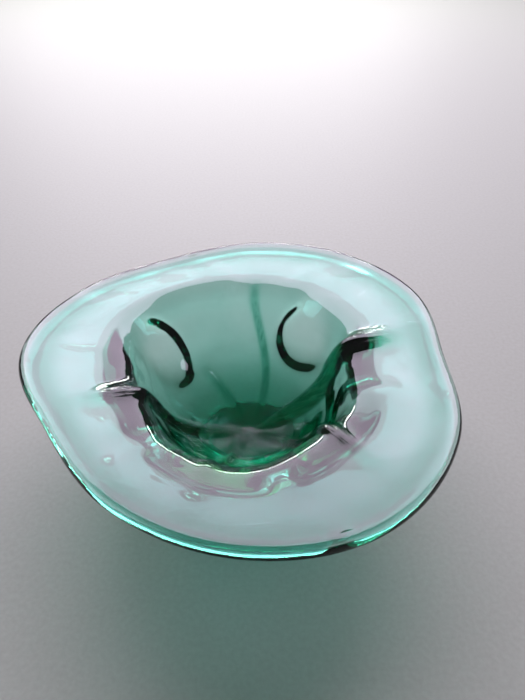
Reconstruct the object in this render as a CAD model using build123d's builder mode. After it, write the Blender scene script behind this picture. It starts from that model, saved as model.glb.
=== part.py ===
from build123d import *
from math import cos, exp, hypot, pi, radians, sin
import os

# Art glass bowl, hot-worked: a funnel-shaped well with six folds, a broad wavy flange and a heavy base.
# Millimetres and degrees. +Z is up, and the origin is the middle of the flat ground foot.

# --- Rim ---
# Radius and height of the rim at even steps round the bowl, anticlockwise from +X. The rim is pulled by
# hand and has no symmetry, so these twelve places are its free outline.
RIM_OUTLINE = [
    (130.0, 96.0),
    (142.5, 99.0),
    (145.0, 99.0),
    (142.0, 98.0),
    (141.0, 94.0),
    (149.5, 96.0),
    (149.5, 101.0),
    (132.5, 103.0),
    (136.5, 101.0),
    (142.0, 97.0),
    (146.0, 95.0),
    (140.5, 97.0),
]
RIM_RADIUS = 139.0  # the mean rim, which the sections below are drawn to
RIM_HEIGHT = 96.0

# --- Folds: azimuth on the flange, turn between the lip and the well's bottom, strength, width factor,
# and the radius where the fold has all but faded ---
FOLDS = [
    (14.0, -14.0, 3.0, 1.2, 120.0),
    (88.0, -33.0, 0.9, 0.65, 95.0),
    (136.0, -12.0, 1.0, 0.8, 45.0),
    (202.0, 20.0, 1.5, 1.0, 130.0),
    (256.0, 0.0, 0.7, 0.8, 130.0),
    (310.0, 0.0, 1.3, 0.8, 120.0),
]
FOLD_FADE = 6.0  # how quickly a fold fades there
FOLD_STRAIGHT_RADIUS = 75.0  # outside this radius a fold runs straight out
FOLD_LEAST_RADIUS = 6.0  # keeps a fold's width finite at the middle

# --- Dents pressed into the outside of the wall: azimuth, height, half width, half height, depth ---
DENTS = [
    (54.0, 53.0, 26.0, 22.0, 9.0),
    (148.0, 51.0, 21.0, 22.0, 9.0),
    (229.0, 62.0, 18.0, 17.0, 8.0),
    (283.0, 62.0, 18.0, 17.0, 8.0),
    (343.0, 62.0, 20.0, 17.0, 8.0),
]
DENT_SHARPNESS = 3.0  # a flat floor with a quick edge

# --- Lip of the well: how far it is pushed out of round at even steps round the bowl, from +X ---
LIP_OUTLINE = [-10.0, -4.0, 3.0, 7.0, 16.0, 14.0, -2.0, -4.0, 3.0, 5.0, -6.0, -5.0]
LIP_RADIUS = 80.0
LIP_SPREAD = 28.0
LIP_START_HEIGHT = 30.0
LIP_RISE = 40.0

# --- Glass layers ---
WELL_BOTTOM = 19.0
LINING_THICKNESS = 2.0  # the clear layer over the green one
CORE_THICKNESS = 1.2  # the green layer between the folds
CORE_POOL = 7.0  # how much thicker it is where it pooled under the well
CORE_POOL_RADIUS = 30.0
CORE_ROLL = 2.0  # how much thicker it is where it rolled up inside the rim
CORE_ROLL_RADIUS = 128.0
CORE_ROLL_SPREAD = 9.0
CORE_CORD = 0.5  # under a fold the green layer bulges down by this share of the fold's height

RING_POINTS = 120  # places round the bowl where each ring is worked out
DIVIDER_FIRST_STEP = 30  # the dividing surface starts a quarter turn on, so that no two seams meet

# Stations along the wall's section, each from the middle outwards: radius, height, how far the station
# follows the rim's outline (0 to 1), the fold's height, the fold's width.
INSIDE = [
    (4.0, 19.9, 0.0, 0.2, 3.0),
    (10.0, 22.8, 0.0, 1.0, 3.5),
    (20.0, 28.6, 0.0, 2.0, 4.2),
    (32.0, 35.6, 0.0, 2.8, 4.6),
    (45.0, 43.5, 0.05, 3.4, 5.0),
    (58.0, 53.5, 0.1, 3.6, 5.0),
    (67.0, 63.5, 0.2, 3.6, 5.0),
    (73.5, 75.5, 0.3, 3.4, 5.5),
    (78.0, 83.5, 0.4, 3.0, 6.0),
    (85.0, 88.0, 0.5, 2.3, 7.0),
    (97.0, 89.6, 0.68, 1.7, 8.0),
    (115.0, 91.4, 0.88, 0.8, 10.0),
    (130.0, 93.4, 1.0, 0.2, 12.0),
]
RIM_BEAD = [
    (135.3, 94.7, 1.0, 0.0, 12.0),
    (138.3, 93.3, 1.0, 0.0, 12.0),
    (139.3, 89.8, 1.0, 0.0, 12.0),
    (138.0, 86.2, 1.0, 0.0, 12.0),
    (134.8, 84.6, 1.0, 0.0, 12.0),
]
OUTSIDE = [
    (43.5, 0.0, 0.0, 0.0, 5.0),
    (48.0, 2.4, 0.0, 0.0, 5.0),
    (55.0, 12.5, 0.0, 0.0, 5.0),
    (63.0, 25.0, 0.04, 0.0, 5.0),
    (71.5, 38.0, 0.12, 0.0, 5.0),
    (79.0, 50.5, 0.2, 0.0, 5.0),
    (86.0, 62.5, 0.3, 0.0, 5.0),
    (92.0, 73.0, 0.46, 0.0, 5.0),
    (95.5, 78.3, 0.56, 0.0, 6.0),
    (100.0, 81.0, 0.66, 0.0, 6.0),
    (107.0, 82.2, 0.76, 0.0, 8.0),
    (117.0, 83.2, 0.9, 0.0, 10.0),
    (128.0, 84.2, 1.0, 0.0, 12.0),
]
CORE_EDGE = (134.5, 89.4, 1.0, 0.0, 12.0)  # the green layer stops here, short of the rim
STRAIGHT_UP = (0.0, 1.0)
# Past the green layer's edge the two clear layers meet along these stations, which run on out of the bowl.
DIVIDER_OUTER = [
    (134.0, 89.5, 1.0, 0.0, 12.0),
    (138.0, 89.0, 1.0, 0.0, 12.0),
    (143.0, 89.2, 1.0, 0.0, 12.0),
    (148.0, 90.5, 1.0, 0.0, 12.0),
    (153.0, 93.5, 0.9, 0.0, 12.0),
    (157.0, 98.0, 0.7, 0.0, 12.0),
    (160.0, 104.0, 0.5, 0.0, 12.0),
    (162.0, 110.0, 0.3, 0.0, 12.0),
    (163.0, 116.0, 0.1, 0.0, 12.0),
    (163.5, 122.0, 0.0, 0.0, 12.0),
    (164.0, 128.0, 0.0, 0.0, 12.0),
]


def smooth_between(before, start, end, after, t):
    """The Catmull-Rom curve between start and end, at t from 0 to 1."""
    slope_in = (end - before) / 2
    slope_out = (after - start) / 2
    return (
        (2 * t**3 - 3 * t**2 + 1) * start
        + (t**3 - 2 * t**2 + t) * slope_in
        + (3 * t**2 - 2 * t**3) * end
        + (t**3 - t**2) * slope_out
    )


def smooth_closed(values, azimuth):
    """The smooth closed curve through evenly spaced values, at an azimuth in radians."""
    place = azimuth / (2 * pi) * len(values)
    index = int(place // 1)
    before, start, end, after = (values[(index + step) % len(values)] for step in (-1, 0, 1, 2))
    return smooth_between(before, start, end, after, place - index)


def with_middles(stations):
    """The stations with one more halfway along the smooth curve between each two."""
    filled = [stations[0]]
    for index in range(len(stations) - 1):
        before = stations[max(index - 1, 0)]
        start = stations[index]
        end = stations[index + 1]
        after = stations[min(index + 2, len(stations) - 1)]
        filled.append(tuple(smooth_between(*places, 0.5) for places in zip(before, start, end, after)))
        filled.append(end)
    return filled


def turn_between(azimuth, other):
    """The signed turn from one azimuth to another, in radians, under half a turn."""
    return (azimuth - other + pi) % (2 * pi) - pi


def fold_height(azimuth, radius, height, width):
    """How far the folds lift the inside surface at one place."""
    inward = 1 - min(radius / FOLD_STRAIGHT_RADIUS, 1)
    total = 0.0
    for fold_azimuth, turn, strength, width_factor, reach in FOLDS:
        middle = radians(fold_azimuth + turn * inward)
        across = turn_between(azimuth, middle) * max(radius, FOLD_LEAST_RADIUS)
        faded = exp(-((radius / reach) ** FOLD_FADE))
        total += strength * faded * exp(-((across / (width * width_factor)) ** 2))
    return total * height


def dent_depth(azimuth, radius, height):
    """How far the dents push the outside surface in at one place."""
    total = 0.0
    for dent_azimuth, dent_height, half_width, half_height, depth in DENTS:
        across = turn_between(azimuth, radians(dent_azimuth)) * radius / half_width
        up = (height - dent_height) / half_height
        total += depth * exp(-((across**2 + up**2) ** DENT_SHARPNESS))
    return total


def section_normals(stations):
    """The unit normal of the section at each station, to the left of the way the stations run."""
    normals = []
    for index in range(len(stations)):
        before = stations[max(index - 1, 0)]
        after = stations[min(index + 1, len(stations) - 1)]
        along_r = after[0] - before[0]
        along_z = after[1] - before[1]
        length = hypot(along_r, along_z)
        normals.append((-along_z / length, along_r / length))
    return normals


def lip_share(radius, height):
    """What share of the lip's free outline shows at one station."""
    rise = min(max((height - LIP_START_HEIGHT) / LIP_RISE, 0), 1)
    return exp(-(((radius - LIP_RADIUS) / LIP_SPREAD) ** 2)) * rise


def core_under_depth(radius):
    """How deep the underside of the green layer lies between the folds, at one station's radius."""
    pooled = CORE_POOL * exp(-((radius / CORE_POOL_RADIUS) ** 2))
    rolled = CORE_ROLL * exp(-(((radius - CORE_ROLL_RADIUS) / CORE_ROLL_SPREAD) ** 2))
    return LINING_THICKNESS + CORE_THICKNESS + pooled + rolled


def ring(station, normal, depth=0.0, folded=0.0, dented=0.0, first_step=0):
    """A closed ring round the bowl at one station, pushed into the glass by depth."""
    base_radius, base_height, follow, fold, width = station
    points = []
    for step in range(RING_POINTS):
        azimuth = 2 * pi * (step + first_step) / RING_POINTS
        rim_radius = smooth_closed([place[0] for place in RIM_OUTLINE], azimuth)
        rim_height = smooth_closed([place[1] for place in RIM_OUTLINE], azimuth)
        radius = base_radius * (1 + follow * (rim_radius / RIM_RADIUS - 1))
        height = base_height + follow**2 * (rim_height - RIM_HEIGHT)
        shift = folded * fold_height(azimuth, base_radius, fold, width) - depth
        shift -= dented * dent_depth(azimuth, base_radius, base_height)
        radius += shift * normal[0]
        radius += smooth_closed(LIP_OUTLINE, azimuth) * lip_share(base_radius, base_height)
        height += shift * normal[1]
        points.append((radius * cos(azimuth), radius * sin(azimuth), height))
    even_steps = [step / RING_POINTS for step in range(RING_POINTS + 1)]
    return Wire([Edge.make_spline(points, periodic=True, parameters=even_steps)])


def rings(stations, depths=None, folded=0.0, dented=0.0, first_step=0):
    """The rings of a run of stations, each pushed into the glass by its own depth."""
    normals = section_normals(stations)
    if depths is None:
        depths = [0.0] * len(stations)
    return [
        ring(station, normal, depth, folded, dented, first_step)
        for station, normal, depth in zip(stations, normals, depths)
    ]


# --- The closed surfaces that the layers are cut from ---
outside_stations = list(reversed(with_middles(OUTSIDE)))
bowl_body = Solid.make_loft(
    [
        Vertex(0, 0, WELL_BOTTOM),
        *rings(INSIDE, folded=1.0),
        *rings(RIM_BEAD),
        *rings(outside_stations, dented=1.0),
    ]
)

core_top_depths = [LINING_THICKNESS] * len(INSIDE)
core_under_depths = [core_under_depth(station[0]) for station in INSIDE]
core_under = rings(INSIDE, core_under_depths, folded=-CORE_CORD)
core_body = Solid.make_loft(
    [
        Vertex(0, 0, WELL_BOTTOM - LINING_THICKNESS),
        *rings(INSIDE, core_top_depths, folded=1.0),
        ring(CORE_EDGE, STRAIGHT_UP),
        *reversed(core_under),
        Vertex(0, 0, WELL_BOTTOM - LINING_THICKNESS - CORE_THICKNESS - CORE_POOL),
    ]
)

# The clear layers meet inside the green layer's thickness and, past its edge, across the rim's bead.
divider_depth = LINING_THICKNESS + CORE_THICKNESS / 2
divider_body = Solid.make_loft(
    [
        Vertex(0, 0, WELL_BOTTOM - divider_depth),
        *rings(INSIDE, [divider_depth] * len(INSIDE), first_step=DIVIDER_FIRST_STEP),
        *rings(DIVIDER_OUTER, first_step=DIVIDER_FIRST_STEP),
    ]
)

# --- The three layers ---
with BuildPart() as clear_inner_layer:
    add(bowl_body)
    add(core_body, mode=Mode.SUBTRACT)
    add(divider_body, mode=Mode.INTERSECT)

with BuildPart() as green_core_layer:
    add(core_body)

with BuildPart() as clear_outer_casing:
    add(bowl_body)
    add(core_body, mode=Mode.SUBTRACT)
    add(divider_body, mode=Mode.SUBTRACT)

clear_inner_layer.part.label = "clear_inner_layer"
green_core_layer.part.label = "green_core_layer"
clear_outer_casing.part.label = "clear_outer_casing"

os.makedirs("parts", exist_ok=True)
export_step(clear_inner_layer.part, "parts/clear_inner_layer.step")
export_step(green_core_layer.part, "parts/green_core_layer.step")
export_step(clear_outer_casing.part, "parts/clear_outer_casing.step")
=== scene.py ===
"""A free-standing art glass bowl: a tinted casing, a green layer sealed inside it, and the room's light."""

import logging
from dataclasses import dataclass, field, fields, replace
from enum import Enum
from math import pi, radians
from typing import Iterable, Sequence, Union

import bpy
import numpy as np
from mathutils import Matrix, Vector


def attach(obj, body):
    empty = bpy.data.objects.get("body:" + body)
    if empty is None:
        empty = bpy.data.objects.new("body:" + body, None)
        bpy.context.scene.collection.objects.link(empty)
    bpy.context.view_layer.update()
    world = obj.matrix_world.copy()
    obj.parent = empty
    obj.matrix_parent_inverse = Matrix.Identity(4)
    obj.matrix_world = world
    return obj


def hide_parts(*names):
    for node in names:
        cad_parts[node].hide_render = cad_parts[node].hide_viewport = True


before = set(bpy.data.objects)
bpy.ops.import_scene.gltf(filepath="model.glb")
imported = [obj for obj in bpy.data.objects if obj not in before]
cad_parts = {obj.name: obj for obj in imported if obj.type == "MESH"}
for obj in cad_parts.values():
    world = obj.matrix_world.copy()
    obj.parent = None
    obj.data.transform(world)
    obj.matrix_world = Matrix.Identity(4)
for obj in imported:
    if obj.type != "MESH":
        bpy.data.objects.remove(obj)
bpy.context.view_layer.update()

log = logging.getLogger("art_glass_bowl")

MILLIMETRE = 0.001
FOLD_MARK = "fold_mark"  # how high the folds stand at each point, in millimetres

Colour = tuple[float, float, float]
Point = tuple[float, float, float]
Pair = tuple[float, float]
Setting = Union[str, bool, int, float]
Operand = Union["Signal", str, float, Colour, bpy.types.ID]

WHITE = (1.0, 1.0, 1.0)
WHOLE = (0.0, 1.0)
MIX_COLOUR_INPUTS = (6, 7)  # where a Mix node takes its two colours
MIX_COLOUR_OUTPUT = 2
AXIS_CLEARANCE = 0.004  # within this distance of the axis, in metres, a drawn pattern stops tightening
DRAWN_RISE = 3.0  # how fast a drawn pattern changes over a metre up the wall


# ---------------------------------------------------------------------------------------------------------
# Node trees
# ---------------------------------------------------------------------------------------------------------


class Board:
    """A node tree with short ways of adding nodes and joining them."""

    def __init__(self, tree: bpy.types.NodeTree) -> None:
        """Wraps a tree.

        Args:
            tree: The shader or geometry node tree to build in.
        """
        self.tree = tree

    def node(
        self,
        kind: str,
        settings: dict[str, Setting] | None = None,
        sockets: dict[Union[str, int], Operand] | None = None,
    ) -> bpy.types.Node:
        """Adds one node of any type.

        Args:
            kind: The node type's identifier.
            settings: Properties of the node, by name.
            sockets: What goes into each input, by the input's name or number.

        Returns:
            The new node.
        """
        made = self.tree.nodes.new(kind)
        for name, value in (settings or {}).items():
            setattr(made, name, value)
        for key, value in (sockets or {}).items():
            self.feed(made.inputs[key], value)
        return made

    def feed(self, socket: bpy.types.NodeSocket, value: Operand) -> None:
        """Joins a signal to an input, or sets the input's own value.

        Args:
            socket: The input.
            value: A signal, or a plain value.
        """
        if isinstance(value, Signal):
            self.tree.links.new(value.socket, socket)
        else:
            socket.default_value = value

    def signal(self, node: bpy.types.Node, output: Union[str, int] = 0) -> "Signal":
        """Takes one output of a node.

        Args:
            node: The node.
            output: The output's name or number.

        Returns:
            The output as a signal.
        """
        return Signal(self, node.outputs[output])

    def maths(self, operation: str, *values: Operand) -> "Signal":
        """Adds one step of number maths.

        Args:
            operation: The Math node's operation.
            *values: The operands, signals or numbers.

        Returns:
            The result.
        """
        made = self.node("ShaderNodeMath", {"operation": operation}, dict(enumerate(values)))
        return self.signal(made)

    def vector_maths(self, operation: str, *values: Operand) -> "Signal":
        """Adds one step of vector maths.

        Args:
            operation: The Vector Math node's operation.
            *values: The operands, signals or triples.

        Returns:
            The result.
        """
        made = self.node("ShaderNodeVectorMath", {"operation": operation}, dict(enumerate(values)))
        return self.signal(made)

    def mix_colour(self, share: Operand, start: Operand, end: Operand) -> "Signal":
        """Mixes two colours.

        Args:
            share: How much of the second colour there is, 0 to 1.
            start: The first colour, a signal or a triple.
            end: The second colour, a signal or a triple.

        Returns:
            The mixed colour.
        """
        first, second = (tone if isinstance(tone, Signal) else (*tone, 1.0) for tone in (start, end))
        first_input, second_input = MIX_COLOUR_INPUTS
        sockets = {0: share, first_input: first, second_input: second}
        return self.signal(self.node("ShaderNodeMix", {"data_type": "RGBA"}, sockets), MIX_COLOUR_OUTPUT)

    def between(self, value: Operand, before: Pair, after: Pair) -> "Signal":
        """Maps one range onto another and holds it at the ends.

        Args:
            value: The value to map.
            before: The range it comes in.
            after: The range it leaves in.

        Returns:
            The mapped value.
        """
        sockets = {0: value, 1: before[0], 2: before[1], 3: after[0], 4: after[1]}
        return self.signal(self.node("ShaderNodeMapRange", {"clamp": True}, sockets))


class Signal:
    """One output of a node, which takes part in ordinary arithmetic."""

    def __init__(self, board: Board, socket: bpy.types.NodeSocket) -> None:
        """Wraps an output.

        Args:
            board: The tree it is in.
            socket: The output.
        """
        self.board = board
        self.socket = socket

    def __add__(self, other: Operand) -> "Signal":
        """Adds a value to the signal."""
        return self.board.maths("ADD", self, other)

    def __radd__(self, other: Operand) -> "Signal":
        """Adds the signal to a value."""
        return self.board.maths("ADD", other, self)

    def __sub__(self, other: Operand) -> "Signal":
        """Takes a value from the signal."""
        return self.board.maths("SUBTRACT", self, other)

    def __rsub__(self, other: Operand) -> "Signal":
        """Takes the signal from a value."""
        return self.board.maths("SUBTRACT", other, self)

    def __mul__(self, other: Operand) -> "Signal":
        """Multiplies the signal by a value."""
        return self.board.maths("MULTIPLY", self, other)

    def __rmul__(self, other: Operand) -> "Signal":
        """Multiplies a value by the signal."""
        return self.board.maths("MULTIPLY", other, self)

    def __truediv__(self, other: Operand) -> "Signal":
        """Divides the signal by a value."""
        return self.board.maths("DIVIDE", self, other)

    def __rtruediv__(self, other: Operand) -> "Signal":
        """Divides a value by the signal."""
        return self.board.maths("DIVIDE", other, self)

    def __pow__(self, other: Operand) -> "Signal":
        """Raises the signal to a power."""
        return self.board.maths("POWER", self, other)

    def __neg__(self) -> "Signal":
        """Turns the signal's sign round."""
        return self.board.maths("MULTIPLY", self, -1.0)

    def squared(self) -> "Signal":
        """Multiplies the signal by itself."""
        return self.board.maths("MULTIPLY", self, self)

    def exp(self) -> "Signal":
        """Raises e to the signal."""
        return self.board.maths("EXPONENT", self)

    def sine(self) -> "Signal":
        """Takes the sine of the signal, in radians."""
        return self.board.maths("SINE", self)

    def cosine(self) -> "Signal":
        """Takes the cosine of the signal, in radians."""
        return self.board.maths("COSINE", self)

    def at_least(self, low: Operand) -> "Signal":
        """Holds the signal at or above a value.

        Args:
            low: The least value.

        Returns:
            The held signal.
        """
        return self.board.maths("MAXIMUM", self, low)

    def at_most(self, high: Operand) -> "Signal":
        """Holds the signal at or below a value.

        Args:
            high: The greatest value.

        Returns:
            The held signal.
        """
        return self.board.maths("MINIMUM", self, high)

    def half_turn_wrapped(self) -> "Signal":
        """Brings an angle between minus and plus half a turn."""
        return self.board.maths("WRAP", self, pi, -pi)


# ---------------------------------------------------------------------------------------------------------
# Shape
# ---------------------------------------------------------------------------------------------------------


@dataclass(frozen=True)
class Station:
    """One place on the wall's section.

    Attributes:
        radius: Distance from the axis, in millimetres.
        height: Height above the foot, in millimetres.
        follow: How far the place follows the rim's free outline, 0 to 1.
        fold: Height of a fold of unit strength here, in millimetres.
        width: Width of such a fold, in millimetres.
        inset: How far the place is pushed into the glass, in millimetres.
        folded: The share of the folds' height that shows here.
        dented: The share of the dents' depth that shows here.
    """

    radius: float
    height: float
    follow: float
    fold: float
    width: float
    inset: float = 0.0
    folded: float = 0.0
    dented: float = 0.0

    def figures(self) -> tuple[float, ...]:
        """Gives the station's numbers in the order they are declared."""
        return (
            self.radius,
            self.height,
            self.follow,
            self.fold,
            self.width,
            self.inset,
            self.folded,
            self.dented,
        )


@dataclass(frozen=True)
class Fold:
    """A fold that runs out of the well.

    Attributes:
        azimuth: Its direction on the flange, in degrees from +X.
        turn: How far it has turned by the middle of the well, in degrees.
        strength: Its height against the sections' unit fold.
        width: Its width against the sections' unit fold.
        reach: The radius where it has all but faded, in millimetres.
    """

    azimuth: float
    turn: float
    strength: float
    width: float
    reach: float


@dataclass(frozen=True)
class Dent:
    """A dent pressed into the outside of the wall.

    Attributes:
        azimuth: Its direction, in degrees from +X.
        height: The height of its middle, in millimetres.
        half_width: Half its width, in millimetres.
        half_height: Half its height, in millimetres.
        depth: How deep it goes, in millimetres.
    """

    azimuth: float
    height: float
    half_width: float
    half_height: float
    depth: float


def hermite(
    start: np.ndarray,
    end: np.ndarray,
    slope_in: np.ndarray,
    slope_out: np.ndarray,
    t: np.ndarray,
) -> np.ndarray:
    """Joins two sets of figures with a smooth curve.

    Args:
        start: The figures where the curve begins.
        end: The figures where it ends.
        slope_in: How fast they change at the start, over the whole run.
        slope_out: How fast they change at the end, over the whole run.
        t: How far along the curve to look, 0 to 1.

    Returns:
        The figures there.
    """
    return (
        (2 * t**3 - 3 * t**2 + 1) * start
        + (t**3 - 2 * t**2 + t) * slope_in
        + (3 * t**2 - 2 * t**3) * end
        + (t**3 - t**2) * slope_out
    )


def stations(rows: Iterable[Sequence[float]], **shares: float) -> list[Station]:
    """Makes stations from rows of figures.

    Args:
        rows: Radius, height, follow, fold and width of each station.
        **shares: The inset, folded or dented figures that all of them have.

    Returns:
        The stations, in the rows' order.
    """
    return [Station(*row, **shares) for row in rows]


class Section:
    """A run of stations with a smooth curve through them."""

    def __init__(self, places: Sequence[Station]) -> None:
        """Takes the stations.

        Args:
            places: The stations from the middle of the top to the middle of the bottom.
        """
        self.figures = np.array([place.figures() for place in places], dtype=float)
        steps = np.hypot(np.diff(self.figures[:, 0]), np.diff(self.figures[:, 1]))
        self.knots = np.concatenate([[0.0], np.cumsum(np.sqrt(steps))])

    def _slopes(self) -> np.ndarray:
        """Works out the curve's slope at every station.

        Returns:
            The slope of each figure at each station. The height's slope is nothing at the first station.
        """
        values, knots = self.figures, self.knots
        spans = np.diff(knots)[:, None]
        rises = np.diff(values, axis=0) / spans
        slopes = np.empty_like(values)
        slopes[0], slopes[-1] = rises[0], rises[-1]
        slopes[1:-1] = (rises[:-1] * spans[1:] + rises[1:] * spans[:-1]) / (spans[1:] + spans[:-1])
        slopes[0, 1] = 0.0
        return slopes

    def sampled(self, count: int) -> tuple[np.ndarray, np.ndarray]:
        """Samples the curve evenly.

        Args:
            count: How many places to sample.

        Returns:
            The figures at each place, and the section's unit normal there as (outwards, up).
        """
        values, knots, slopes = self.figures, self.knots, self._slopes()
        along = np.linspace(0.0, knots[-1], count)
        index = np.clip(np.searchsorted(knots, along, side="right") - 1, 0, len(knots) - 2)
        span = (knots[index + 1] - knots[index])[:, None]
        t = ((along - knots[index]) / span[:, 0])[:, None]
        ends = values[index], values[index + 1]
        curve = hermite(*ends, span * slopes[index], span * slopes[index + 1], t)
        run, rise = np.gradient(curve[:, 0]), np.gradient(curve[:, 1])
        length = np.hypot(run, rise)
        return curve, np.stack([-rise / length, run / length], axis=1)


@dataclass(frozen=True)
class BowlShape:
    """Every size of the bowl, in millimetres and degrees. The origin is the middle of the flat foot.

    Attributes:
        rim_outline: The rim's reach and height in twelve even directions from +X.
        rim_radius: The radius that the rim's reach is measured against.
        rim_height: The height that the rim's lift is measured against.
        folds: The folds that run out of the well.
        fold_straight_radius: Past this radius a fold runs straight out.
        fold_least_radius: A fold's width is worked out as if nowhere nearer the axis than this.
        dents: The dents between the folds.
        dent_sharpness: How flat a dent's floor is and how steep its sides are.
        fold_fade: How suddenly a fold ends at its reach.
        lip_outline: How far the lip over the well is pushed out in the rim outline's directions.
        lip_radius: Where the lip is.
        lip_spread: How far from there its outline is felt.
        lip_start: The height where its outline begins to be felt.
        lip_rise: How much higher it is fully felt.
        lining: How thick the clear lining is.
        core: How thick the green layer is between the folds.
        core_pool: How much thicker the green layer is at the well's bottom.
        core_pool_radius: How far out that pool reaches.
        core_cord: How far the green layer bulges down under a fold, as a share of the fold's height.
        core_roll: How much thicker the green layer is where it rolled up inside the rim.
        core_roll_radius: Where that roll is.
        core_roll_spread: How wide the roll is.
        core_edge: Where the green layer ends, short of the rim.
        inside_rows: The stations of the inside, from the well's bottom out.
        bead_rows: The stations round the rim.
        outside_rows: The stations of the outside, from under the flange in to the foot.
    """

    rim_outline: tuple[Pair, ...] = (
        (130.0, 96.0),
        (142.5, 99.0),
        (145.0, 99.0),
        (142.0, 98.0),
        (141.0, 94.0),
        (149.5, 96.0),
        (149.5, 101.0),
        (132.5, 103.0),
        (136.5, 101.0),
        (142.0, 97.0),
        (146.0, 95.0),
        (140.5, 97.0),
    )
    rim_radius: float = 139.0
    rim_height: float = 96.0
    folds: tuple[Fold, ...] = (
        Fold(14.0, -14.0, 3.0, 1.2, 120.0),
        Fold(88.0, -33.0, 0.9, 0.55, 95.0),
        Fold(136.0, -12.0, 1.0, 0.8, 45.0),
        Fold(202.0, 20.0, 1.5, 1.0, 130.0),
        Fold(256.0, 0.0, 0.7, 0.8, 130.0),
        Fold(310.0, 0.0, 1.3, 0.8, 120.0),
    )
    fold_straight_radius: float = 75.0
    fold_least_radius: float = 6.0
    dents: tuple[Dent, ...] = (
        Dent(54.0, 53.0, 26.0, 22.0, 9.0),
        Dent(148.0, 51.0, 21.0, 22.0, 9.0),
        Dent(229.0, 62.0, 18.0, 17.0, 8.0),
        Dent(283.0, 62.0, 18.0, 17.0, 8.0),
        Dent(343.0, 62.0, 20.0, 17.0, 8.0),
    )
    dent_sharpness: float = 3.0
    fold_fade: float = 6.0
    lip_outline: tuple[float, ...] = (-10.0, -4.0, 3.0, 7.0, 16.0, 14.0, -2.0, -4.0, 3.0, 5.0, -6.0, -5.0)
    lip_radius: float = 80.0
    lip_spread: float = 28.0
    lip_start: float = 30.0
    lip_rise: float = 40.0
    lining: float = 2.0
    core: float = 1.2
    core_pool: float = 7.0
    core_pool_radius: float = 30.0
    core_cord: float = 0.5
    core_roll: float = 2.8
    core_roll_radius: float = 129.5
    core_roll_spread: float = 5.0
    core_edge: Station = Station(135.0, 89.3, 1.0, 0.0, 12.0)
    inside_rows: tuple[tuple[float, ...], ...] = (
        (0.0, 19.0, 0.0, 0.0, 3.0),
        (4.0, 19.9, 0.0, 0.2, 3.0),
        (10.0, 22.8, 0.0, 1.0, 3.5),
        (20.0, 28.6, 0.0, 2.0, 4.2),
        (32.0, 35.6, 0.0, 2.8, 4.6),
        (45.0, 43.5, 0.05, 3.4, 5.0),
        (58.0, 53.5, 0.1, 3.6, 5.0),
        (67.0, 63.5, 0.2, 3.6, 5.0),
        (73.5, 75.5, 0.3, 3.4, 5.5),
        (78.0, 83.5, 0.4, 3.0, 6.0),
        (85.0, 88.0, 0.5, 2.3, 7.0),
        (97.0, 89.6, 0.68, 1.7, 8.0),
        (115.0, 91.4, 0.88, 0.8, 10.0),
        (130.0, 93.4, 1.0, 0.2, 12.0),
    )
    bead_rows: tuple[tuple[float, ...], ...] = (
        (135.3, 94.7, 1.0, 0.0, 12.0),
        (138.3, 93.3, 1.0, 0.0, 12.0),
        (139.3, 89.8, 1.0, 0.0, 12.0),
        (138.0, 86.2, 1.0, 0.0, 12.0),
        (134.8, 84.6, 1.0, 0.0, 12.0),
    )
    outside_rows: tuple[tuple[float, ...], ...] = (
        (128.0, 84.2, 1.0, 0.0, 12.0),
        (117.0, 83.2, 0.9, 0.0, 10.0),
        (107.0, 82.2, 0.76, 0.0, 8.0),
        (100.0, 81.0, 0.66, 0.0, 6.0),
        (95.5, 78.3, 0.56, 0.0, 6.0),
        (92.0, 73.0, 0.46, 0.0, 5.0),
        (86.0, 62.5, 0.3, 0.0, 5.0),
        (79.0, 50.5, 0.2, 0.0, 5.0),
        (71.5, 38.0, 0.12, 0.0, 5.0),
        (63.0, 25.0, 0.04, 0.0, 5.0),
        (55.0, 12.5, 0.0, 0.0, 5.0),
        (48.0, 2.4, 0.0, 0.0, 5.0),
        (43.5, 0.0, 0.0, 0.0, 5.0),
    )

    def glass_section(self) -> Section:
        """Draws the section of the whole bowl.

        Returns:
            The section from the well's bottom over the rim to the foot.
        """
        return Section(
            [
                *stations(self.inside_rows, folded=1.0),
                *stations(self.bead_rows),
                *stations(self.outside_rows, dented=1.0),
            ]
        )

    def core_section(self) -> Section:
        """Draws the section of the green layer.

        Returns:
            The section along its top to its edge and back underneath.
        """
        top = stations(self.inside_rows, inset=self.lining, folded=1.0)
        under = []
        for place in stations(self.inside_rows):
            pooled = self.core_pool * np.exp(-((place.radius / self.core_pool_radius) ** 2))
            rolled = self.core_roll * np.exp(
                -(((place.radius - self.core_roll_radius) / self.core_roll_spread) ** 2)
            )
            inset = self.lining + self.core + float(pooled + rolled)
            under.append(replace(place, inset=inset, folded=self.core_cord))
        return Section([*_pushed_in(top), self.core_edge, *reversed(_pushed_in(under))])

    def outline_at(self, azimuths: np.ndarray) -> dict["Figure", np.ndarray]:
        """Works out the free outlines of the rim and the lip.

        Args:
            azimuths: Directions in radians.

        Returns:
            How far the rim reaches out against its mean, how far it lifts and how far the lip is pushed
            out, the last two in millimetres.
        """
        outline = np.column_stack([np.array(self.rim_outline), np.array(self.lip_outline)])
        count = len(outline)
        place = azimuths / (2 * pi) % 1 * count
        index = np.floor(place).astype(int) % count
        t = (place - np.floor(place))[:, None]
        before, start, end, after = (outline[(index + step) % count] for step in (-1, 0, 1, 2))
        curve = hermite(start, end, (end - before) / 2, (after - start) / 2, t)
        return {
            Figure.REACH: curve[:, 0] / self.rim_radius - 1,
            Figure.LIFT: curve[:, 1] - self.rim_height,
            Figure.LIP: curve[:, 2],
        }


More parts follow.
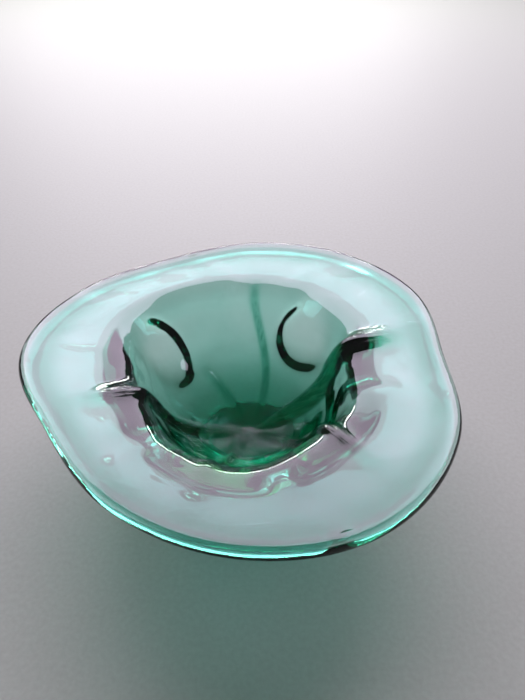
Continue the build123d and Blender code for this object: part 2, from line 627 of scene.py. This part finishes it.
def _pushed_in(places: Sequence[Station]) -> list[Station]:
    """Moves stations into the glass by their own insets.

    Args:
        places: The stations of the inside surface, from the middle outwards.

    Returns:
        The moved stations, which have no inset left.
    """
    moved = []
    for index, place in enumerate(places):
        before = places[max(index - 1, 0)]
        after = places[min(index + 1, len(places) - 1)]
        run, rise = after.radius - before.radius, after.height - before.height
        outward, up = (-rise, run) if index else (0.0, 1.0)
        length = np.hypot(outward, up)
        moved.append(
            Station(
                max(place.radius - place.inset * outward / length, 0.0),
                place.height - place.inset * up / length,
                place.follow,
                place.fold,
                place.width,
                folded=place.folded,
            )
        )
    return moved


class Figure(Enum):
    """What each point of a bare revolved surface carries for the shaping nodes."""

    AZIMUTH = "azimuth"
    RADIUS = "section_radius"
    HEIGHT = "section_height"
    FOLLOW = "rim_follow"
    REACH = "rim_reach"
    LIFT = "rim_lift"
    LIP = "lip_shift"
    FOLD = "fold_height"
    WIDTH = "fold_width"
    FOLDED = "fold_share"
    DENTED = "dent_share"
    OUTWARD = "normal_outward"
    UPWARD = "normal_up"


class RevolvedSurface:
    """A closed surface of revolution whose points carry the figures that the shaping nodes read."""

    def __init__(self, name: str, shape: BowlShape, section: Section, around: int, along: int) -> None:
        """Builds the mesh.

        Args:
            name: The object's name.
            shape: The bowl's sizes.
            section: The section to turn round the axis.
            around: How many points there are round the bowl.
            along: How many points there are along the section.
        """
        curve, normal = section.sampled(along)
        azimuths = np.linspace(0.0, 2 * pi, around, endpoint=False)
        self.around = around
        self.rings = along - 2 if curve[-1, 0] < MILLIMETRE else along - 1
        by_direction = {Figure.AZIMUTH: azimuths, **shape.outline_at(azimuths)}
        self.figures = self._spread(curve, normal, by_direction)
        self.mesh = self._mesh(name)

    def _spread(
        self,
        curve: np.ndarray,
        normal: np.ndarray,
        by_direction: dict[Figure, np.ndarray],
    ) -> dict[Figure, np.ndarray]:
        """Lays the section's and the outlines' figures out over all the points.

        Args:
            curve: The sampled section.
            normal: Its normals.
            by_direction: The figures that depend on the direction round the bowl.

        Returns:
            One value a point for every figure: the top pole, the rings in turn, then the bottom pole.
        """
        column = {item.name: curve[:, index] for index, item in enumerate(fields(Station))}
        by_ring = {
            Figure.RADIUS: column["radius"],
            Figure.HEIGHT: column["height"],
            Figure.FOLLOW: column["follow"],
            Figure.FOLD: column["fold"],
            Figure.WIDTH: column["width"],
            Figure.FOLDED: column["folded"],
            Figure.DENTED: column["dented"],
            Figure.OUTWARD: normal[:, 0],
            Figure.UPWARD: normal[:, 1],
        }
        spread = {}
        for figure, values in by_ring.items():
            rings = np.repeat(values[1 : self.rings + 1], self.around)
            spread[figure] = np.concatenate([[values[0]], rings, [values[-1]]])
        for figure, values in by_direction.items():
            spread[figure] = np.concatenate([[0.0], np.tile(values, self.rings), [0.0]])
        for pole in (0, -1):
            spread[Figure.RADIUS][pole] = 0.0
            spread[Figure.FOLDED][pole] = 0.0
            spread[Figure.DENTED][pole] = 0.0
        return spread

    def _mesh(self, name: str) -> bpy.types.Mesh:
        """Joins the points with faces that all look outwards.

        Args:
            name: The mesh's name.

        Returns:
            The closed mesh, unshaped.
        """
        around, rings = self.around, self.rings
        step = np.arange(around)
        following = (step + 1) % around
        first = 1 + (np.arange(rings - 1) * around)[:, None]
        quads = np.stack(
            [first + step, first + around + step, first + around + following, first + following], axis=-1
        ).reshape(-1, 4)
        last_ring = 1 + (rings - 1) * around
        bottom = last_ring + around
        top_fan = np.stack([np.zeros_like(step), 1 + step, 1 + following], axis=-1)
        bottom_fan = np.stack([last_ring + following, last_ring + step, np.full_like(step, bottom)], axis=-1)
        turned = self.figures[Figure.AZIMUTH]
        radius = self.figures[Figure.RADIUS]
        points = np.stack(
            [radius * np.cos(turned), radius * np.sin(turned), self.figures[Figure.HEIGHT]], axis=-1
        )
        mesh = bpy.data.meshes.new(name)
        faces = [*top_fan.tolist(), *quads.tolist(), *bottom_fan.tolist()]
        mesh.from_pydata((points * MILLIMETRE).tolist(), [], faces)
        for figure, values in self.figures.items():
            layer = mesh.attributes.new(figure.value, "FLOAT", "POINT")
            layer.data.foreach_set("value", np.ascontiguousarray(values, dtype=np.float32))
        mesh.update()
        return mesh


class ShapingNodes:
    """The geometry nodes that turn a bare surface of revolution into folded, dented glass."""

    FOLD_INPUT = "Fold strength"
    DENT_INPUT = "Dent strength"
    MATERIAL_INPUT = "Glass"

    def __init__(self, shape: BowlShape) -> None:
        """Builds the node tree.

        Args:
            shape: The bowl's sizes.
        """
        self.shape = shape
        self.tree = bpy.data.node_groups.new("folded_glass", "GeometryNodeTree")
        self.board = Board(self.tree)
        self._declare_sockets()
        self.inputs = self.tree.nodes.new("NodeGroupInput")
        self._build()

    def _declare_sockets(self) -> None:
        """Names what goes into the tree and what comes out."""
        face = self.tree.interface
        face.new_socket(name="Geometry", in_out="INPUT", socket_type="NodeSocketGeometry")
        face.new_socket(name=self.FOLD_INPUT, in_out="INPUT", socket_type="NodeSocketFloat")
        face.new_socket(name=self.DENT_INPUT, in_out="INPUT", socket_type="NodeSocketFloat")
        face.new_socket(name=self.MATERIAL_INPUT, in_out="INPUT", socket_type="NodeSocketMaterial")
        face.new_socket(name="Geometry", in_out="OUTPUT", socket_type="NodeSocketGeometry")

    def _figure(self, figure: Figure) -> Signal:
        """Reads one of the figures that the points carry.

        Args:
            figure: Which figure.

        Returns:
            Its value at each point.
        """
        settings = {"data_type": "FLOAT"}
        made = self.board.node("GeometryNodeInputNamedAttribute", settings, {"Name": figure.value})
        return self.board.signal(made)

    def _fold_lift(self, azimuth: Signal, radius: Signal) -> Signal:
        """Adds up how far the folds lift the inside surface.

        Args:
            azimuth: The direction of each point.
            radius: The section's radius at each point.

        Returns:
            The lift against a unit fold.
        """
        shape = self.shape
        inward = 1.0 - (radius / shape.fold_straight_radius).at_most(1.0)
        arm = radius.at_least(shape.fold_least_radius)
        width = self._figure(Figure.WIDTH)
        total: Operand = 0.0
        for fold in shape.folds:
            middle = inward * radians(fold.turn) + radians(fold.azimuth)
            across = (azimuth - middle).half_turn_wrapped() * arm / (width * fold.width)
            faded = (-((radius / fold.reach) ** shape.fold_fade)).exp()
            total = (-across.squared()).exp() * faded * fold.strength + total
        return total

    def _dent_depth(self, azimuth: Signal, radius: Signal, height: Signal) -> Signal:
        """Adds up how far the dents push the outside surface in.

        Args:
            azimuth: The direction of each point.
            radius: The section's radius at each point.
            height: The section's height at each point.

        Returns:
            The depth in millimetres.
        """
        total: Operand = 0.0
        for dent in self.shape.dents:
            across = (azimuth - radians(dent.azimuth)).half_turn_wrapped() * radius / dent.half_width
            upward = (height - dent.height) / dent.half_height
            away = across.squared() + upward.squared()
            total = (-(away**self.shape.dent_sharpness)).exp() * dent.depth + total
        return total

    def _lip_share(self, radius: Signal, height: Signal) -> Signal:
        """Works out what share of the lip's free outline shows at each point.

        Args:
            radius: The section's radius at each point.
            height: The section's height at each point.

        Returns:
            The share, 0 to 1.
        """
        shape = self.shape
        spread = ((radius - shape.lip_radius) / shape.lip_spread).squared()
        rise = ((height - shape.lip_start) / shape.lip_rise).at_least(0.0).at_most(1.0)
        return (-spread).exp() * rise

    def _build(self) -> None:
        """Joins the tree together."""
        board = self.board
        azimuth, radius = self._figure(Figure.AZIMUTH), self._figure(Figure.RADIUS)
        height, follow = self._figure(Figure.HEIGHT), self._figure(Figure.FOLLOW)
        lift = self._fold_lift(azimuth, radius) * self._figure(Figure.FOLD) * self._figure(Figure.FOLDED)
        dent = self._dent_depth(azimuth, radius, height) * self._figure(Figure.DENTED)
        fold_strength = board.signal(self.inputs, self.FOLD_INPUT)
        dent_strength = board.signal(self.inputs, self.DENT_INPUT)
        push = lift * fold_strength - dent * dent_strength
        reach = radius * (follow * self._figure(Figure.REACH) + 1.0)
        reach = reach + push * self._figure(Figure.OUTWARD)
        reach = reach + self._lip_share(radius, height) * self._figure(Figure.LIP)
        level = height + follow.squared() * self._figure(Figure.LIFT)
        level = level + push * self._figure(Figure.UPWARD)
        parts = {0: reach * azimuth.cosine(), 1: reach * azimuth.sine(), 2: level}
        place = board.signal(board.node("ShaderNodeCombineXYZ", sockets=parts))
        scaled = board.node("ShaderNodeVectorMath", {"operation": "SCALE"}, {0: place, 3: MILLIMETRE})
        geometry = board.signal(self.inputs, "Geometry")
        moved = board.node(
            "GeometryNodeSetPosition", sockets={"Geometry": geometry, "Position": board.signal(scaled)}
        )
        marked = board.node(
            "GeometryNodeStoreNamedAttribute",
            {"data_type": "FLOAT", "domain": "POINT"},
            {"Geometry": board.signal(moved), "Name": FOLD_MARK, "Value": lift},
        )
        smooth = board.node("GeometryNodeSetShadeSmooth", sockets={0: board.signal(marked)})
        real = board.node("GeometryNodeRealizeInstances", sockets={0: board.signal(smooth)})
        glass = board.signal(self.inputs, self.MATERIAL_INPUT)
        finished = board.node(
            "GeometryNodeSetMaterial", sockets={"Geometry": board.signal(real), "Material": glass}
        )
        board.node("NodeGroupOutput", sockets={0: board.signal(finished)})

    def applied(
        self,
        surface: RevolvedSurface,
        name: str,
        material: bpy.types.Material,
        fold_strength: float,
        dent_strength: float,
    ) -> bpy.types.Object:
        """Shapes a surface and leaves a plain mesh.

        Args:
            surface: The bare surface.
            name: The finished piece's name.
            material: Its material.
            fold_strength: How strongly the folds show.
            dent_strength: How strongly the dents show.

        Returns:
            The finished piece, with no modifier left on it.
        """
        blank = bpy.data.objects.new(f"{name}_blank", surface.mesh)
        bpy.context.scene.collection.objects.link(blank)
        shaping = blank.modifiers.new("shaping", "NODES")
        shaping.node_group = self.tree
        values = {
            self.FOLD_INPUT: fold_strength,
            self.DENT_INPUT: dent_strength,
            self.MATERIAL_INPUT: material,
        }
        for item in self.tree.interface.items_tree:
            if item.name in values:
                shaping[item.identifier] = values[item.name]
        bpy.context.view_layer.update()
        evaluated = blank.evaluated_get(bpy.context.evaluated_depsgraph_get())
        mesh = bpy.data.meshes.new_from_object(evaluated)
        mesh.name = name
        bpy.data.objects.remove(blank)
        piece = bpy.data.objects.new(name, mesh)
        bpy.context.scene.collection.objects.link(piece)
        log.info("%s: %d points", name, len(mesh.vertices))
        return piece


# ---------------------------------------------------------------------------------------------------------
# Finishes
# ---------------------------------------------------------------------------------------------------------


def blank_material(name: str) -> tuple[bpy.types.Material, Board, bpy.types.Node, bpy.types.Node]:
    """Makes an empty material.

    Args:
        name: The material's name.

    Returns:
        The material, its board, its surface shader and its output.
    """
    material = bpy.data.materials.new(name)
    material.use_nodes = True
    board = Board(material.node_tree)
    material.node_tree.nodes.clear()
    shader = board.node("ShaderNodeBsdfPrincipled")
    output = board.node("ShaderNodeOutputMaterial", sockets={"Surface": board.signal(shader)})
    return material, board, shader, output


@dataclass(frozen=True)
class Tint:
    """How strongly a glass takes up each colour of light.

    Attributes:
        per_metre: What is taken up of red, green and blue over a metre, as exponents.
        headroom: Keeps the strongest colour just short of fully taken up in the shader's own terms.
    """

    per_metre: Colour
    headroom: float = 0.98

    def volume(self, board: Board) -> Signal:
        """Adds the volume shader.

        Args:
            board: The material's board.

        Returns:
            The volume shader's output.
        """
        density = max(self.per_metre) / self.headroom
        colour = tuple(1.0 - strength / density for strength in self.per_metre)
        sockets = {"Color": (*colour, 1.0), "Density": density}
        return board.signal(board.node("ShaderNodeVolumeAbsorption", sockets=sockets))


@dataclass(frozen=True)
class Noise:
    """An even, cloudy pattern.

    Attributes:
        scale: How many of its features cross one unit.
        detail: How many finer layers it has.
        roughness: How strong the finer layers are.
        distortion: How much it is stirred.
    """

    scale: float
    detail: float
    roughness: float = 0.5
    distortion: float = 0.0

    def over(self, board: Board, vector: Signal) -> Signal:
        """Lays the pattern over a surface.

        Args:
            board: The material's board.
            vector: The coordinates to lay it over.

        Returns:
            The pattern's value, 0 to 1.
        """
        sockets = {
            "Vector": vector,
            "Scale": self.scale,
            "Detail": self.detail,
            "Roughness": self.roughness,
            "Distortion": self.distortion,
        }
        return board.signal(board.node("ShaderNodeTexNoise", sockets=sockets))


def drawn_coordinates(board: Board, coordinates: Signal) -> tuple[Signal, Signal, Signal]:
    """Works out coordinates along which a pattern is drawn out up the wall and over the flange.

    Args:
        board: The material's board.
        coordinates: The object's own coordinates.

    Returns:
        The drawn coordinates, the distance from the axis and the height.
    """
    parts = board.node("ShaderNodeSeparateXYZ", sockets={0: coordinates})
    across, back, height = (board.signal(parts, index) for index in range(3))
    radius = board.maths("SQRT", across.squared() + back.squared())
    arm = radius.at_least(AXIS_CLEARANCE)
    turned = {0: across / arm, 1: back / arm, 2: height * DRAWN_RISE}
    return board.signal(board.node("ShaderNodeCombineXYZ", sockets=turned)), radius, height


@dataclass(frozen=True)
class CasingGlass:
    """Fire-polished glass with faint drawn ripples and a ground foot.

    Attributes:
        tint: Its faint colour.
        refraction: Its refractive index.
        ripples: The drawn ripples.
        ripple_depth: How deep the ripples are, in metres.
        swells: The broad swells.
        swell_depth: How deep the swells are, in metres.
        cords: The fine cords along the folds.
        cord_depth: How deep the cords are, in metres.
        cord_start: The fold heights over which the cords come in, in millimetres.
        ground_radius: The radius of the ground foot, in metres.
        ground_edge: How wide the edge of the ground foot is, in metres.
        ground_height: The heights over which the grinding comes in, in metres.
        ground_roughness: The ground foot's roughness.
        smears: Where the glass has been handled.
        smear_range: The part of that pattern that shows.
        smear_tone: The colour of a smear.
        handled_roughness: How rough the most handled places are.
    """

    tint: Tint = Tint((32.0, 6.0, 11.0))
    refraction: float = 1.5
    ripples: Noise = Noise(16.0, 1.0, roughness=0.4)
    ripple_depth: float = 0.0001
    swells: Noise = Noise(15.0, 1.0, distortion=0.8)
    swell_depth: float = 0.0045
    cords: Noise = Noise(70.0, 1.0, roughness=0.4)
    cord_depth: float = 0.0006
    cord_start: Pair = (0.8, 3.0)
    ground_radius: float = 0.0425
    ground_edge: float = 0.001
    ground_height: Pair = (0.0004, 0.0002)
    ground_roughness: float = 0.35
    smears: Noise = Noise(22.0, 3.0)
    smear_range: Pair = (0.52, 0.7)
    smear_tone: Colour = (0.985, 0.995, 0.99)
    handled_roughness: float = 0.02

    def material(self) -> bpy.types.Material:
        """Builds the material.

        Returns:
            The material.
        """
        material, board, shader, output = blank_material("casing_glass")
        coordinates = board.signal(board.node("ShaderNodeTexCoord"), "Object")
        drawn, radius, height = drawn_coordinates(board, coordinates)
        smears = self.smears.over(board, coordinates)
        roughness = board.between(smears, self.smear_range, (0.0, self.handled_roughness))
        roughness = roughness + self._grounded(board, radius, height) * self.ground_roughness
        mark = board.signal(board.node("ShaderNodeAttribute", {"attribute_name": FOLD_MARK}), "Fac")
        on_fold = board.between(mark, self.cord_start, WHOLE)
        relief = self.ripples.over(board, drawn) * self.ripple_depth
        relief = relief + self.swells.over(board, coordinates) * self.swell_depth
        relief = relief + self.cords.over(board, drawn) * on_fold * self.cord_depth
        bump = board.node("ShaderNodeBump", sockets={"Height": relief, "Distance": 1.0, "Strength": 1.0})
        board.feed(shader.inputs["Base Color"], board.mix_colour(smears, WHITE, self.smear_tone))
        board.feed(shader.inputs["Roughness"], roughness)
        board.feed(shader.inputs["Normal"], board.signal(bump))
        shader.inputs["IOR"].default_value = self.refraction
        shader.inputs["Transmission Weight"].default_value = 1.0
        board.feed(output.inputs["Volume"], self.tint.volume(board))
        return material

    def _grounded(self, board: Board, radius: Signal, height: Signal) -> Signal:
        """Marks the ground foot.

        Args:
            board: The material's board.
            radius: The distance from the axis.
            height: The height.

        Returns:
            1 on the ground foot and 0 elsewhere.
        """
        edge = (self.ground_radius, self.ground_radius - self.ground_edge)
        return board.between(radius, edge, WHOLE) * board.between(height, self.ground_height, WHOLE)


@dataclass(frozen=True)
class CoreGlass:
    """Strongly coloured glass sealed in the casing, so its surface neither shines nor bends light.

    Attributes:
        tint: Its colour.
        refraction: Its refractive index against the glass round it.
        streaks: The pattern of the palest streaks.
        streak_stretch: How closely the streaks lie each way, to the metre.
        streak_range: The part of that pattern that shows.
        streak: The palest streaks left where the colour was drawn out.
        fold_shade_pattern: The streaky pattern in which painted shade is laid along the folds.
        fold_shade_range: The part of that pattern that shows.
        fold_shade_start: The fold heights over which the painted shade comes in, in millimetres.
        painted_fold_shade: Painted shade, a deeper green laid along the folds that stands in for the shade
            seen in them through the glass.
    """

    tint: Tint = Tint((260.0, 90.0, 130.0))
    refraction: float = 1.0
    streaks: Noise = Noise(1.0, 2.0)
    streak_stretch: Point = (34.0, 34.0, 9.0)
    streak_range: Pair = (0.35, 0.7)
    streak: Colour = (0.9, 0.97, 0.955)
    fold_shade_pattern: Noise = Noise(70.0, 1.0)
    fold_shade_range: Pair = (0.42, 0.58)
    fold_shade_start: Pair = (1.0, 3.5)
    # Painted shade: a deeper green laid along the folds, standing in for the shade the folds show through
    # the glass.
    painted_fold_shade: Colour = (0.3, 0.6, 0.5)

    def material(self) -> bpy.types.Material:
        """Builds the material.

        Returns:
            The material.
        """
        material, board, shader, output = blank_material("core_glass")
        coordinates = board.signal(board.node("ShaderNodeTexCoord"), "Object")
        stretched = board.vector_maths("MULTIPLY", coordinates, self.streak_stretch)
        share = board.between(self.streaks.over(board, stretched), self.streak_range, WHOLE)
        tone = board.mix_colour(share, WHITE, self.streak)
        drawn, _, _ = drawn_coordinates(board, coordinates)
        # Painted shade: the core's colour is deepened in streaks along the folds, standing in for the shade
        # seen in them through the glass.
        fold_shade_pattern = board.between(self.fold_shade_pattern.over(board, drawn), self.fold_shade_range, WHOLE)
        mark = board.signal(board.node("ShaderNodeAttribute", {"attribute_name": FOLD_MARK}), "Fac")
        fold_shade_share = fold_shade_pattern * board.between(mark, self.fold_shade_start, WHOLE)
        board.feed(shader.inputs["Base Color"], board.mix_colour(fold_shade_share, tone, self.painted_fold_shade))
        shader.inputs["Roughness"].default_value = 0.0
        shader.inputs["IOR"].default_value = self.refraction
        shader.inputs["Transmission Weight"].default_value = 1.0
        board.feed(output.inputs["Volume"], self.tint.volume(board))
        return material


@dataclass(frozen=True)
class MatteFloor:
    """A plain pale floor.

    Attributes:
        colour: Its colour.
        speckle: The colour of its faint speckle.
        speckles: The speckle's pattern.
        speckle_range: The part of that pattern that shows.
        roughness: Its roughness.
    """

    colour: Colour = (0.29, 0.32, 0.265)
    speckle: Colour = (0.32, 0.35, 0.295)
    speckles: Noise = Noise(320.0, 4.0)
    speckle_range: Pair = (0.3, 0.7)
    roughness: float = 0.6

    def material(self) -> bpy.types.Material:
        """Builds the material.

        Returns:
            The material.
        """
        material, board, shader, _ = blank_material("matte_floor")
        coordinates = board.signal(board.node("ShaderNodeTexCoord"), "Object")
        share = board.between(self.speckles.over(board, coordinates), self.speckle_range, WHOLE)
        board.feed(shader.inputs["Base Color"], board.mix_colour(share, self.colour, self.speckle))
        shader.inputs["Roughness"].default_value = self.roughness
        return material


# ---------------------------------------------------------------------------------------------------------
# The bowl
# ---------------------------------------------------------------------------------------------------------


@dataclass
class ArtGlassBowl:
    """The whole bowl.

    Attributes:
        shape: Its sizes.
        casing: The clear glass.
        core: The green glass.
        around: Points round the bowl.
        casing_rings: Points along the casing's section.
        core_rings: Points along the green layer's section.
    """

    shape: BowlShape = field(default_factory=BowlShape)
    casing: CasingGlass = field(default_factory=CasingGlass)
    core: CoreGlass = field(default_factory=CoreGlass)
    around: int = 400
    casing_rings: int = 240
    core_rings: int = 160

    def build(self) -> list[bpy.types.Object]:
        """Builds both pieces and ties them to the CAD.

        Returns:
            The pieces.
        """
        shaping = ShapingNodes(self.shape)
        return [self._casing(shaping), self._core(shaping)]

    def _casing(self, shaping: ShapingNodes) -> bpy.types.Object:
        """Builds the clear glass, lining and casing in one, since no surface shows where they fused.

        Args:
            shaping: The shaping nodes.

        Returns:
            The piece.
        """
        surface = RevolvedSurface(
            "clear_glass", self.shape, self.shape.glass_section(), self.around, self.casing_rings
        )
        piece = shaping.applied(surface, "clear_glass", self.casing.material(), 1.0, 1.0)
        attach(piece, "root")
        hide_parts("clear_inner_layer", "clear_outer_casing")
        return piece

    def _core(self, shaping: ShapingNodes) -> bpy.types.Object:
        """Builds the green layer.

        Args:
            shaping: The shaping nodes.

        Returns:
            The piece.
        """
        surface = RevolvedSurface(
            "green_core", self.shape, self.shape.core_section(), self.around, self.core_rings
        )
        piece = shaping.applied(surface, "green_core", self.core.material(), 1.0, 0.0)
        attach(piece, "root")
        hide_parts("green_core_layer")
        return piece


# ---------------------------------------------------------------------------------------------------------
# The room
# ---------------------------------------------------------------------------------------------------------


@dataclass(frozen=True)
class SoftBox:
    """A flat soft light.

    Attributes:
        name: Its name.
        place: Where its middle is, in metres.
        aim: Where it points.
        size: Its width and height, in metres.
        power: Its power, in watts.
        colour: Its colour.
    """

    name: str
    place: Point
    aim: Point
    size: Pair
    power: float
    colour: Colour

    def build(self) -> bpy.types.Object:
        """Builds the light.

        Returns:
            The light.
        """
        lamp = bpy.data.lights.new(self.name, "AREA")
        lamp.shape = "RECTANGLE"
        lamp.size, lamp.size_y = self.size
        lamp.energy = self.power
        lamp.color = self.colour
        light = bpy.data.objects.new(self.name, lamp)
        light.location = self.place
        along = Vector(self.aim) - Vector(self.place)
        light.rotation_euler = along.to_track_quat("-Z", "Y").to_euler()
        bpy.context.scene.collection.objects.link(light)
        return light


@dataclass(frozen=True)
class Viewpoint:
    """Where the bowl is looked at from.

    Attributes:
        place: Where the lens is, in metres.
        tilt: How far the view is raised from straight down, in degrees.
        lens: The focal length, in millimetres.
        sensor: The width of the frame behind it, in millimetres.
    """

    place: Point = (0.0093, -0.2775, 0.3391)
    tilt: float = 49.0
    lens: float = 28.8
    sensor: float = 36.0

    def build(self) -> bpy.types.Object:
        """Builds the camera and makes it the scene's own.

        Returns:
            The camera.
        """
        camera = bpy.data.cameras.new("viewpoint")
        camera.sensor_width = self.sensor
        camera.lens = self.lens
        holder = bpy.data.objects.new("viewpoint", camera)
        holder.location = self.place
        holder.rotation_euler = (radians(self.tilt), 0.0, 0.0)
        bpy.context.scene.collection.objects.link(holder)
        bpy.context.scene.camera = holder
        return holder


@dataclass(frozen=True)
class Room:
    """The plain floor, the soft light and the dim surroundings.

    Attributes:
        floor: The floor's finish.
        floor_reach: How far the floor runs each way, in metres.
        floor_drop: The gap that keeps the floor off the foot, in metres.
        lights: The soft lights.
        surroundings: The colour of the rest of the room.
        dimness: How bright the rest of the room is.
        light_steps: How many times light may pass through glass before it is given up.
        spare_steps: How many more times it may be turned in other ways.
    """

    floor: MatteFloor = MatteFloor()
    floor_reach: float = 6.0
    floor_drop: float = 0.0005
    lights: tuple[SoftBox, ...] = (
        SoftBox("window", (0.0, 2.2, 1.48), (0.0, 0.0, 0.09), (3.2, 1.0), 56.0, (0.93, 0.79, 1.0)),
        SoftBox("window_head", (0.0, 1.4, 2.28), (0.0, 0.0, 0.09), (3.2, 1.33), 72.0, (0.93, 0.79, 1.0)),
        SoftBox("sill_strip", (-0.2, 2.4, 0.72), (0.0, 0.0, 0.09), (1.8, 0.09), 28.0, (1.0, 0.97, 1.0)),
    )
    surroundings: Colour = (0.9, 0.93, 1.0)
    dimness: float = 0.15
    light_steps: int = 20
    spare_steps: int = 4

    def build(self) -> None:
        """Builds the room."""
        self._floor()
        for light in self.lights:
            light.build()
        world = bpy.data.worlds.new("room")
        world.use_nodes = True
        background = world.node_tree.nodes["Background"]
        background.inputs["Color"].default_value = (*self.surroundings, 1.0)
        background.inputs["Strength"].default_value = self.dimness
        scene = bpy.context.scene
        scene.world = world
        scene.view_settings.view_transform = "Standard"
        scene.cycles.max_bounces = self.light_steps + self.spare_steps
        scene.cycles.transmission_bounces = self.light_steps

    def _floor(self) -> None:
        """Lays the floor."""
        reach = self.floor_reach
        mesh = bpy.data.meshes.new("floor")
        corners = [(-reach, -reach, 0.0), (reach, -reach, 0.0), (reach, reach, 0.0), (-reach, reach, 0.0)]
        mesh.from_pydata(corners, [], [(0, 1, 2, 3)])
        mesh.materials.append(self.floor.material())
        floor = bpy.data.objects.new("floor", mesh)
        floor.location.z = -self.floor_drop
        bpy.context.scene.collection.objects.link(floor)


def main() -> None:
    """Builds the bowl and its room."""
    logging.basicConfig(level=logging.INFO)
    ArtGlassBowl().build()
    Room().build()
    Viewpoint().build()


if __name__ == "__main__":
    main()
